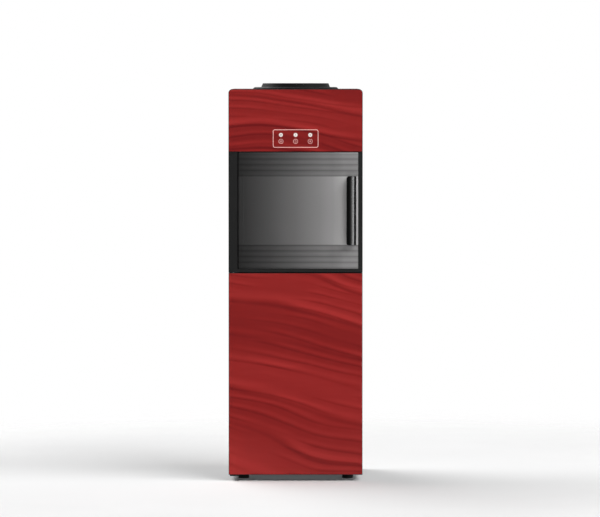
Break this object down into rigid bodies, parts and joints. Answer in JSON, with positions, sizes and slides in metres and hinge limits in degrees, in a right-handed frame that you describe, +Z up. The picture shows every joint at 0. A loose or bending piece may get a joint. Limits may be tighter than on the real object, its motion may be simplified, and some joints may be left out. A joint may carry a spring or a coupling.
{
  "type": "water dispenser with fridge",
  "caption": "Free-standing bottle-top water dispenser: red glass panels, a smoked door over a niche with push-lever taps and drip tray, and a hinged fridge cabinet below.",
  "frame": {"origin": "on the floor under the centre of the overall box", "axes": "+Z up, front with the taps and doors towards -Y, +X to the right seen from the front"},
  "size_m": [0.33, 0.3592, 0.98],
  "materials": {
    "red_glass": "gloss, printed behind",
    "dark_trim": "semi-gloss",
    "frame_black": "fine texture",
    "smoked_acrylic": "gloss, graded tint",
    "handle_black": "gloss",
    "painted_sheet": "satin powder coat",
    "zinc_sheet": "galvanised",
    "steel": "brushed",
    "white_plastic": "gloss",
    "liner_white": "satin",
    "clear_shelf": "clear tint",
    "foam": "cellular foam",
    "copper": "drawn copper",
    "rubber_black": "matt",
    "gasket_grey": "satin",
    "hose_clear": "translucent silicone",
    "lens_white": "diffusing",
    "board_green": "solder mask",
    "lever_red": "gloss",
    "lever_white": "gloss",
    "lever_blue": "gloss",
    "black_enamel": "gloss enamel",
    "magnet": "bare"
  },
  "bodies": {
    "cabinet": {"base_pan": "zinc_sheet", "rubber_feet": "rubber_black", "cabinet_screws": "steel", "side_panel_left": "painted_sheet", "side_panel_right": "painted_sheet", "rear_panel": "painted_sheet", "top_cover": "dark_trim", "tank_shelf": "zinc_sheet", "top_bezel": "dark_trim", "top_glass": "red_glass", "indicator_lenses": "lens_white", "control_board": "board_green", "niche_frame": "frame_black", "niche_liner": "frame_black", "tap_body_hot": "dark_trim", "tap_body_normal": "dark_trim", "tap_body_cold": "dark_trim", "tap_spring_hot": "steel", "tap_spring_normal": "steel", "tap_spring_cold": "steel", "tap_caps": "dark_trim", "tap_nuts": "steel", "hinge_pins": "steel", "door_magnet": "magnet", "fridge_liner": "liner_white", "foam_insulation": "foam", "fridge_evaporator": "steel", "hinge_bracket_top": "steel", "hinge_bracket_bottom": "black_enamel", "bottle_collar": "dark_trim", "bottle_probe": "white_plastic", "cold_tank": "steel", "hot_tank": "steel", "water_hoses": "hose_clear", "compressor": "black_enamel", "compressor_grommets": "rubber_black", "condenser": "black_enamel", "service_plate": "dark_trim", "drain_caps": "dark_trim", "refrigerant_pipes": "copper"},
    "smoked_door": {"tap_door": "smoked_acrylic", "tap_door_handle": "handle_black"},
    "fridge_door": {"fridge_door_frame": "dark_trim", "fridge_door_glass": "red_glass", "fridge_door_foam": "foam", "fridge_door_liner": "liner_white", "fridge_door_gasket": "gasket_grey"},
    "hot_lever": {"tap_lever_hot": "lever_red"},
    "normal_lever": {"tap_lever_normal": "lever_white"},
    "cold_lever": {"tap_lever_cold": "lever_blue"},
    "hot_valve": {"tap_plunger_hot": "white_plastic"},
    "normal_valve": {"tap_plunger_normal": "white_plastic"},
    "cold_valve": {"tap_plunger_cold": "white_plastic"},
    "child_lock": {"hot_lock": "white_plastic"},
    "tray": {"drip_tray": "frame_black"},
    "grille": {"drip_grille": "steel"},
    "shelf": {"fridge_shelf": "clear_shelf"},
    "hot_switch": {"rocker_hot": "lever_red"},
    "cold_switch": {"rocker_cold": "white_plastic"},
    "thermostat": {"thermostat_knob": "white_plastic"}
  },
  "joints": [
    {"name": "smoked_door_hinge", "type": "hinge", "parent": "cabinet", "child": "smoked_door", "pos_m": [-0.1365, -0.155, 0.6635], "axis": [0, 0, -1], "range_deg": [0, 100]},
    {"name": "fridge_door_hinge", "type": "hinge", "parent": "cabinet", "child": "fridge_door", "pos_m": [-0.153, -0.14555, 0.2645], "axis": [0, 0, -1], "range_deg": [0, 120]},
    {"name": "hot_lever_press", "type": "hinge", "parent": "cabinet", "child": "hot_lever", "pos_m": [-0.068, -0.0644, 0.7583], "axis": [1, 0, 0], "range_deg": [0, 15], "stiffness_Nm_per_rad": 0.2, "springref_deg": -5.73},
    {"name": "normal_lever_press", "type": "hinge", "parent": "cabinet", "child": "normal_lever", "pos_m": [0, -0.0644, 0.7583], "axis": [1, 0, 0], "range_deg": [0, 15], "stiffness_Nm_per_rad": 0.2, "springref_deg": -5.73},
    {"name": "cold_lever_press", "type": "hinge", "parent": "cabinet", "child": "cold_lever", "pos_m": [0.068, -0.0644, 0.7583], "axis": [1, 0, 0], "range_deg": [0, 15], "stiffness_Nm_per_rad": 0.2, "springref_deg": -5.73},
    {"name": "hot_valve_lift", "type": "slide", "parent": "cabinet", "child": "hot_valve", "axis": [0, 0, 1], "range_m": [0, 0.00233], "deforming": ["tap_spring_hot"]},
    {"name": "normal_valve_lift", "type": "slide", "parent": "cabinet", "child": "normal_valve", "axis": [0, 0, 1], "range_m": [0, 0.00233], "deforming": ["tap_spring_normal"]},
    {"name": "cold_valve_lift", "type": "slide", "parent": "cabinet", "child": "cold_valve", "axis": [0, 0, 1], "range_m": [0, 0.00233], "deforming": ["tap_spring_cold"]},
    {"name": "child_lock_slide", "type": "slide", "parent": "hot_lever", "child": "child_lock", "axis": [0, 1, 0], "range_m": [0, 0.004]},
    {"name": "drip_tray_lift", "type": "slide", "parent": "cabinet", "child": "tray", "axis": [0, 0, 1], "range_m": [0, 0.06]},
    {"name": "drip_grille_lift", "type": "slide", "parent": "tray", "child": "grille", "axis": [0, 0, 1], "range_m": [0, 0.02]},
    {"name": "fridge_shelf_slide", "type": "slide", "parent": "cabinet", "child": "shelf", "axis": [0, -1, 0], "range_m": [0, 0.07]},
    {"name": "hot_switch_rock", "type": "hinge", "parent": "cabinet", "child": "hot_switch", "pos_m": [0.0558, 0.15545, 0.9188], "axis": [1, 0, 0], "range_deg": [0, 16]},
    {"name": "cold_switch_rock", "type": "hinge", "parent": "cabinet", "child": "cold_switch", "pos_m": [0.0798, 0.15545, 0.9188], "axis": [1, 0, 0], "range_deg": [0, 16]},
    {"name": "thermostat_turn", "type": "hinge", "parent": "cabinet", "child": "thermostat", "pos_m": [0.1258, 0.15945, 0.9188], "axis": [0, 1, 0], "range_deg": [0, 270]}
  ],
  "couplings": [
    {"joint": "hot_lever_press", "follows": "hot_valve_lift", "rad_per_m": 111.11},
    {"joint": "normal_lever_press", "follows": "normal_valve_lift", "rad_per_m": 111.11},
    {"joint": "cold_lever_press", "follows": "cold_valve_lift", "rad_per_m": 111.11}
  ]
}
